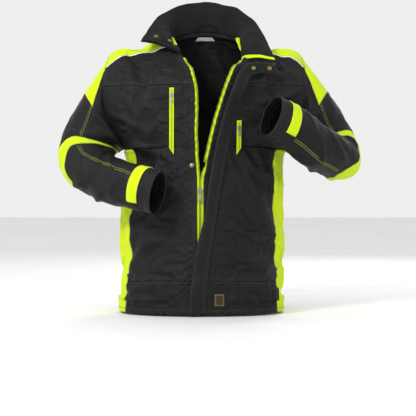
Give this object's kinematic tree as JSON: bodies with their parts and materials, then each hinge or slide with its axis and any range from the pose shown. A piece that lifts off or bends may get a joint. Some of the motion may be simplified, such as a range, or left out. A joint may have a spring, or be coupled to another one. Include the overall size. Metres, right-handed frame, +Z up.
{
  "type": "work jacket",
  "caption": "Two-tone work jacket with stand collar, half-open front zip, storm flap with snaps, zipped chest pockets and bent sleeves, held in its worn shape.",
  "frame": {"origin": "top of the hanger loop inside the back of the neck", "axes": "+Z up when worn, -Y towards the front, +X towards the wearer's left"},
  "size_m": [0.8073, 0.3866, 0.8467],
  "materials": {
    "black_twill": "matt twill weave",
    "yellow_twill": "fluorescent matt twill weave",
    "zip_tape": "woven tape",
    "woven_label": "smooth woven label",
    "reflective_tape": "silver retroreflective",
    "zip_teeth": "moulded plastic",
    "antique_brass": "aged, slightly worn",
    "dark_nickel": "dark plated zinc"
  },
  "bodies": {
    "jacket_body": {"back_hem_band": "black_twill", "back_neck_facing": "black_twill", "back_panel": "black_twill", "badge_patch": "woven_label", "chest_yoke_left": "black_twill", "chest_yoke_right": "black_twill", "collar": "black_twill", "collar_facing": "black_twill", "collar_stud_lower": "antique_brass", "collar_stud_upper": "antique_brass", "cuff_band_left": "yellow_twill", "cuff_band_right": "yellow_twill", "cuff_left": "black_twill", "cuff_right": "black_twill", "elbow_panel_left": "yellow_twill", "elbow_panel_right": "yellow_twill", "flap_socket_lower": "antique_brass", "flap_socket_upper": "antique_brass", "forearm_left": "black_twill", "forearm_right": "black_twill", "front_facing_left": "black_twill", "front_facing_right": "black_twill", "front_hem_band_left": "black_twill", "front_hem_band_right": "black_twill", "front_panel_left": "black_twill", "front_panel_right": "black_twill", "front_stud": "antique_brass", "hanger_loop": "black_twill", "inner_sleeve_left": "black_twill", "inner_sleeve_right": "black_twill", "outer_sleeve_left": "black_twill", "outer_sleeve_right": "black_twill", "pocket_bag_left": "black_twill", "pocket_bag_right": "black_twill", "pocket_zip_tape_left": "zip_tape", "pocket_zip_tape_right": "zip_tape", "pocket_zip_teeth_left": "zip_teeth", "pocket_zip_teeth_right": "zip_teeth", "shoulder_panel_left": "yellow_twill", "shoulder_panel_right": "yellow_twill", "shoulder_piping_left": "reflective_tape", "shoulder_piping_right": "reflective_tape", "side_panel_left": "yellow_twill", "side_panel_right": "yellow_twill", "size_label": "woven_label", "sleeve_head_left": "yellow_twill", "sleeve_head_right": "yellow_twill", "storm_flap_top": "black_twill", "zip_box": "dark_nickel", "zip_tape_left": "zip_tape", "zip_tape_right": "zip_tape", "zip_teeth_left": "zip_teeth", "zip_teeth_right": "zip_teeth"},
    "main_slider": {"zip_slider": "dark_nickel"},
    "main_pull": {"zip_pull": "dark_nickel"},
    "pocket_slider_right": {"pocket_slider_right": "dark_nickel"},
    "pocket_pull_right": {"pocket_pull_right": "dark_nickel"},
    "pocket_slider_left": {"pocket_slider_left": "dark_nickel"},
    "pocket_pull_left": {"pocket_pull_left": "dark_nickel"},
    "flap": {"storm_flap": "black_twill"}
  },
  "joints": [
    {"name": "main_slider_travel", "type": "slide", "parent": "jacket_body", "child": "main_slider", "axis": [0, -0.0135, -0.9999], "range_m": [0, 0.284]},
    {"name": "main_pull_swing", "type": "hinge", "parent": "main_slider", "child": "main_pull", "pos_m": [-0.01204, -0.1982, -0.46297], "axis": [-0.9999, 0.0153, -0.0002], "range_deg": [0, 170]},
    {"name": "right_pocket_slider_travel", "type": "slide", "parent": "jacket_body", "child": "pocket_slider_right", "axis": [0, -0.0729, -0.9973], "range_m": [0, 0.136]},
    {"name": "right_pocket_pull_swing", "type": "hinge", "parent": "pocket_slider_right", "child": "pocket_pull_right", "pos_m": [-0.08701, -0.17438, -0.21317], "axis": [-0.9917, 0.128, -0.0094], "range_deg": [0, 170]},
    {"name": "left_pocket_slider_travel", "type": "slide", "parent": "jacket_body", "child": "pocket_slider_left", "axis": [-0.0113, 0.1235, -0.9923], "range_m": [0, 0.05]},
    {"name": "left_pocket_pull_swing", "type": "hinge", "parent": "pocket_slider_left", "child": "pocket_pull_left", "pos_m": [0.08932, -0.20296, -0.30166], "axis": [-0.9464, -0.3218, -0.0293], "range_deg": [0, 170]},
    {"name": "storm_flap_fold", "type": "hinge", "parent": "jacket_body", "child": "flap", "pos_m": [0.00513, -0.2043, -0.78193], "axis": [0.1627, -0.0023, 0.9867], "range_deg": [0, 80]}
  ]
}
